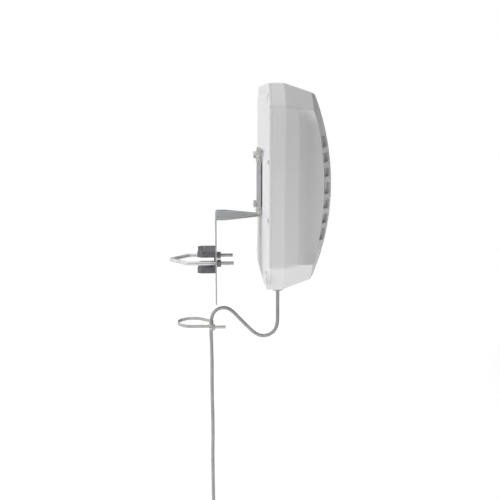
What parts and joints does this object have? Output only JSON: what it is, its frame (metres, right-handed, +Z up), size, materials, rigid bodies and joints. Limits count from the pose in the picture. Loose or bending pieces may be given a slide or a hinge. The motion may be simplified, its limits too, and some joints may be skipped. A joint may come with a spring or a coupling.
{
  "type": "outdoor wireless bridge",
  "caption": "Square weatherproof radio and antenna panel on a Z-shaped steel bracket, clamped to a round mast by a V-bolt and saddle, with its data cable led down the mast.",
  "frame": {"origin": "on the mast's axis, level with the V-bolt, in the middle of the mast clamp", "axes": "+X from the mast towards the panel's front, +Y across the panel, +Z up along the mast"},
  "size_m": [0.2361, 0.282, 0.8401],
  "materials": {
    "radome_white": "satin moulded plastic, weather resistant",
    "cover_white": "white powder coat on cast aluminium",
    "seal_rubber": "black silicone",
    "screw_steel": "stainless",
    "insert_brass": "bare brass",
    "bolt_steel": "darkened stainless",
    "washer_steel": "stainless",
    "bracket_zinc": "zinc coated sheet",
    "saddle_dark": "dark phosphate finish",
    "bolt_zinc": "zinc plated bar",
    "nut_dark": "darkened steel",
    "band_steel": "stainless strip",
    "band_screw": "stainless",
    "gland_grey": "moulded nylon",
    "board_green": "solder mask over glass laminate",
    "chip_black": "moulded epoxy",
    "tin_plate": "tin plate",
    "bare_aluminium": "bare sheet",
    "clear_plastic": "clear moulded plastic",
    "cable_grey": "grey outdoor sheath",
    "board_pale": "pale antenna laminate",
    "nylon_white": "natural nylon",
    "patch_copper": "etched copper",
    "tie_black": "nylon tie",
    "boot_grey": "soft moulding",
    "contact_gold": "gold plated blades"
  },
  "bodies": {
    "bridge": {"front_radome": "radome_white", "rear_cover": "cover_white", "cover_gasket": "seal_rubber", "cover_screws": "screw_steel", "bracket_inserts": "insert_brass", "bracket_bolts": "bolt_steel", "bracket_washers": "washer_steel", "z_bracket": "bracket_zinc", "mast_saddle": "saddle_dark", "cable_band": "band_steel", "clamp_screw": "band_screw", "clamp_nut": "band_steel", "gland_body": "gland_grey", "gland_washer": "seal_rubber", "gland_locknut": "gland_grey", "gland_bush": "seal_rubber", "gland_nut": "gland_grey", "main_board": "board_green", "board_posts": "insert_brass", "board_screws": "screw_steel", "board_chips": "chip_black", "power_parts": "chip_black", "shield_can": "tin_plate", "heat_spreader": "bare_aluminium", "network_jack": "tin_plate", "inner_plug": "clear_plastic", "inner_lead": "cable_grey", "reflector": "bare_aluminium", "reflector_posts": "bare_aluminium", "reflector_screws": "screw_steel", "antenna_board": "board_pale", "antenna_posts": "nylon_white", "antenna_screws": "nylon_white", "antenna_patches": "patch_copper", "feed_pins": "insert_brass", "cable_tube": "cable_grey", "cable_coil": "cable_grey", "coil_ties": "tie_black", "plug_boot": "boot_grey", "end_plug": "clear_plastic", "plug_contacts": "contact_gold"},
    "v_bolt_body": {"v_bolt": "bolt_zinc"},
    "near_nut_body": {"v_nut_near": "nut_dark"},
    "far_nut_body": {"v_nut_far": "nut_dark"}
  },
  "joints": [
    {"name": "v_bolt_slide", "type": "slide", "parent": "bridge", "child": "v_bolt_body", "axis": [-1, 0, 0], "range_m": [0, 0.012]},
    {"name": "near_nut_spin", "type": "hinge", "parent": "bridge", "child": "near_nut_body", "pos_m": [0.0408, -0.032, 0], "axis": [1, 0, 0], "range_deg": [0, 4321]},
    {"name": "far_nut_spin", "type": "hinge", "parent": "bridge", "child": "far_nut_body", "pos_m": [0.0408, 0.032, 0], "axis": [1, 0, 0], "range_deg": [0, 4321]}
  ],
  "couplings": [
    {"joint": "near_nut_spin", "follows": "v_bolt_slide", "rad_per_m": 6283.2},
    {"joint": "far_nut_spin", "follows": "v_bolt_slide", "rad_per_m": 6283.2}
  ]
}
